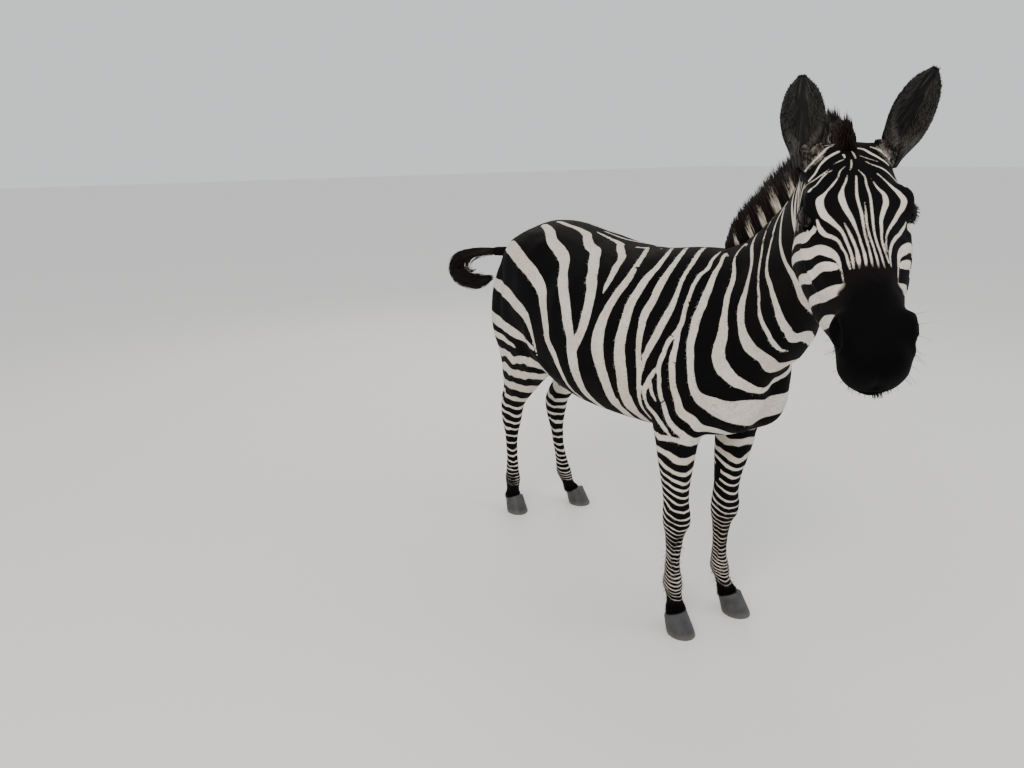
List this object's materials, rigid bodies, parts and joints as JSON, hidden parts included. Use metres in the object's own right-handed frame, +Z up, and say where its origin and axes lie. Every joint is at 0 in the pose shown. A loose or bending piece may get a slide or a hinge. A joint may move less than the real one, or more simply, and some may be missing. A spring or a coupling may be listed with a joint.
{
  "type": "zebra",
  "caption": "Life-size standing plains zebra with its head turned to its right, ears up and tail flicked round, as a still model.",
  "frame": {"origin": "middle of the ground plan of the whole animal, on the floor under its soles", "axes": "+Z up, the trunk faces -Y, the animal's left side is +X; the head is turned towards -X"},
  "size_m": [0.8349, 2.309, 1.6983],
  "materials": {
    "striped_coat": "short flat hair in black and white stripes",
    "mane_hair": "stiff upright hair, dark brown to black",
    "hoof_horn": "worn grey horn",
    "eye": "wet and glossy"
  },
  "bodies": {
    "root": {"ear_left": "striped_coat", "ear_right": "striped_coat", "eye_left": "eye", "eye_right": "eye", "forehoof_left": "hoof_horn", "forehoof_right": "hoof_horn", "foreleg_left_lower": "striped_coat", "foreleg_left_upper": "striped_coat", "foreleg_right_lower": "striped_coat", "foreleg_right_upper": "striped_coat", "head": "striped_coat", "hindhoof_left": "hoof_horn", "hindhoof_right": "hoof_horn", "hindleg_left_lower": "striped_coat", "hindleg_left_upper": "striped_coat", "hindleg_right_lower": "striped_coat", "hindleg_right_upper": "striped_coat", "mane": "mane_hair", "neck": "striped_coat", "tail_bend": "mane_hair", "tail_dock": "striped_coat", "tail_tassel": "mane_hair", "trunk": "striped_coat"}
  },
  "joints": []
}
